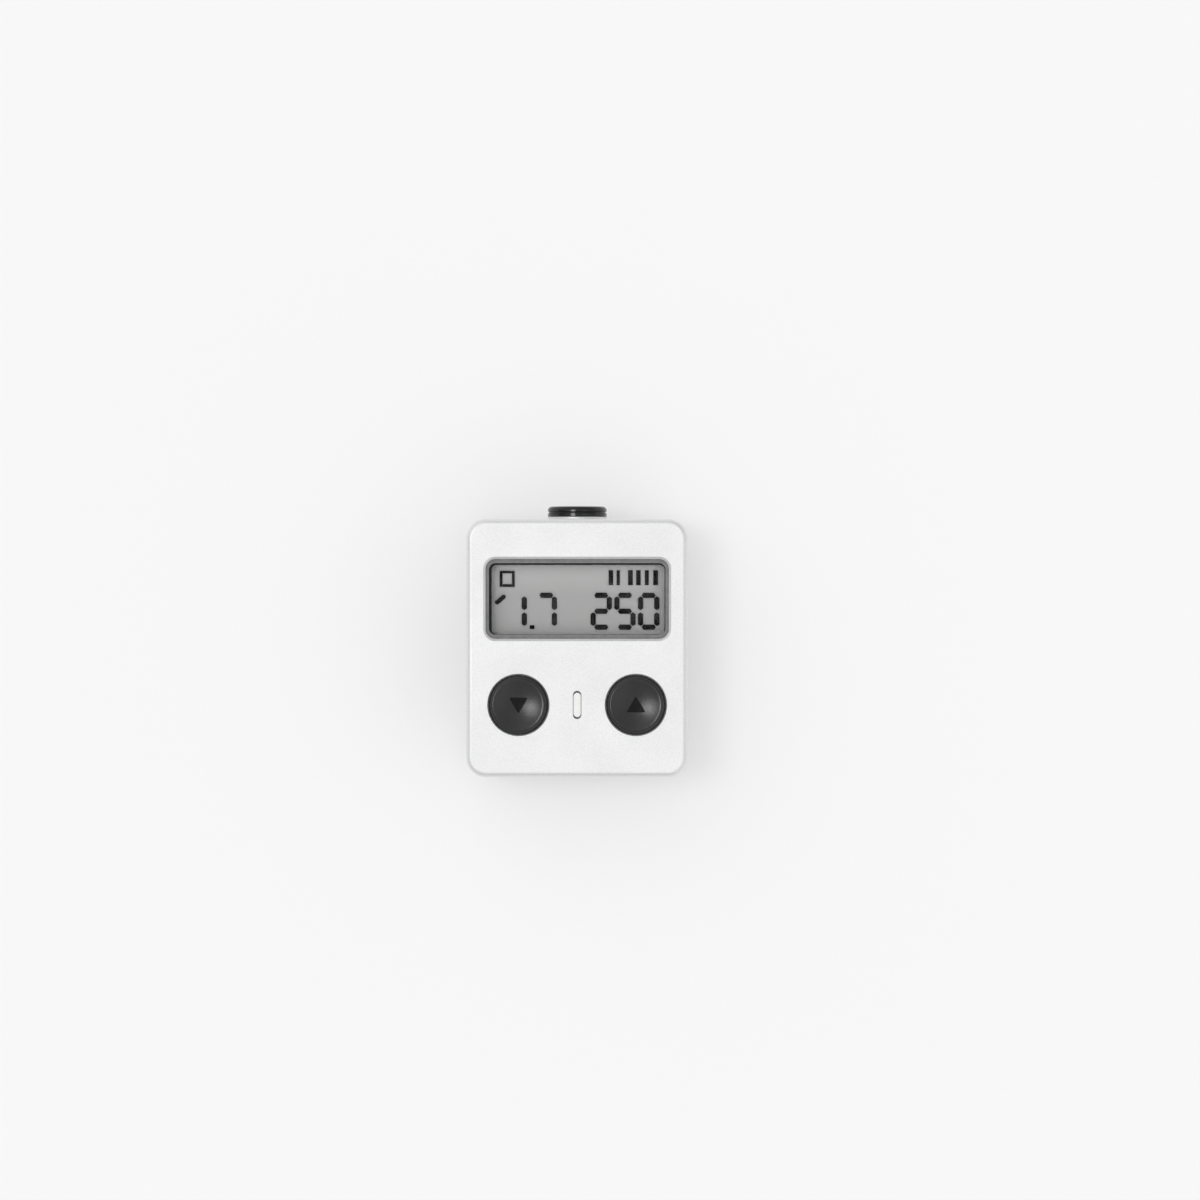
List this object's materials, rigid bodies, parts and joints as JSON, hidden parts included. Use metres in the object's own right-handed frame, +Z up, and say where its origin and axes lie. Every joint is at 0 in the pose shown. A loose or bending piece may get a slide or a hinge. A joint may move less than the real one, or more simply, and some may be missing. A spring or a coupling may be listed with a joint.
{
  "type": "light meter",
  "caption": "Small square-cornered exposure meter on an accessory-shoe foot, with a display window, push buttons and a round front sensor.",
  "frame": {"origin": "centre of the foot's underside", "axes": "+Z up out of the shoe, +Y forward to the subject, +X to the user's right"},
  "size_m": [0.029, 0.0355, 0.0173],
  "materials": {
    "silver_shell": "bead-blasted and clear anodised, pale silver",
    "foot_metal": "satin",
    "screw_steel": "plain turned",
    "bezel_black": "gloss black",
    "button_grey": "dark grey, satin",
    "black_plastic": "moulded black",
    "gasket_black": "matt black",
    "pane_clear": "clear",
    "display_glass": "clear with a faint green cast",
    "film_grey": "grey film, satin",
    "zebra_rubber": "layered grey",
    "clouded_plastic": "milky and translucent",
    "board_green": "green glass-fibre laminate",
    "chip_black": "moulded package",
    "ceramic_tan": "fired",
    "spring_bronze": "bright spring sheet",
    "bright_nickel": "bright nickel plate"
  },
  "bodies": {
    "case": {"housing": "silver_shell", "base_plate": "silver_shell", "shoe_foot": "foot_metal", "base_screw_front_left": "screw_steel", "base_screw_front_right": "screw_steel", "base_screw_rear_left": "screw_steel", "base_screw_rear_right": "screw_steel", "foot_screw_front_left": "screw_steel", "foot_screw_front_right": "screw_steel", "foot_screw_rear_left": "screw_steel", "foot_screw_rear_right": "screw_steel", "window_gasket": "gasket_black", "window_pane": "pane_clear", "lcd_polariser": "film_grey", "lcd_front_glass": "display_glass", "lcd_rear_glass": "display_glass", "lcd_reflector": "film_grey", "lcd_holder": "black_plastic", "zebra_strip": "zebra_rubber", "left_switch": "chip_black", "left_snap_dome": "spring_bronze", "right_switch": "chip_black", "right_snap_dome": "spring_bronze", "sensor_bezel": "bezel_black", "sensor_diffuser": "clouded_plastic", "diffuser_ring": "black_plastic", "bezel_ring_nut": "screw_steel", "photodiode": "chip_black", "sensor_board": "board_green", "sensor_header": "black_plastic", "main_board": "board_green", "microcontroller": "chip_black", "clock_crystal": "bright_nickel", "supply_capacitor": "ceramic_tan", "indicator_led": "clouded_plastic", "light_bar": "clouded_plastic", "board_screw_left": "screw_steel", "board_screw_right": "screw_steel", "board_screw_rear": "screw_steel", "battery_guide": "black_plastic", "negative_contact": "spring_bronze", "positive_contact": "spring_bronze"},
    "left_key": {"left_button": "button_grey", "left_switch_plunger": "black_plastic"},
    "right_key": {"right_button": "button_grey", "right_switch_plunger": "black_plastic"},
    "battery_drawer": {"battery_tray": "black_plastic", "coin_cell": "bright_nickel"}
  },
  "joints": [
    {"name": "left_button_press", "type": "slide", "parent": "case", "child": "left_key", "axis": [0, 0, -1], "range_m": [0, 0.0003], "stiffness_N_per_m": 2000, "springref_m": -0.0003, "deforming": ["left_snap_dome"]},
    {"name": "right_button_press", "type": "slide", "parent": "case", "child": "right_key", "axis": [0, 0, -1], "range_m": [0, 0.0003], "stiffness_N_per_m": 2000, "springref_m": -0.0003, "deforming": ["right_snap_dome"]},
    {"name": "battery_drawer_slide", "type": "slide", "parent": "case", "child": "battery_drawer", "axis": [-1, 0, 0], "range_m": [0, 0.017]}
  ]
}
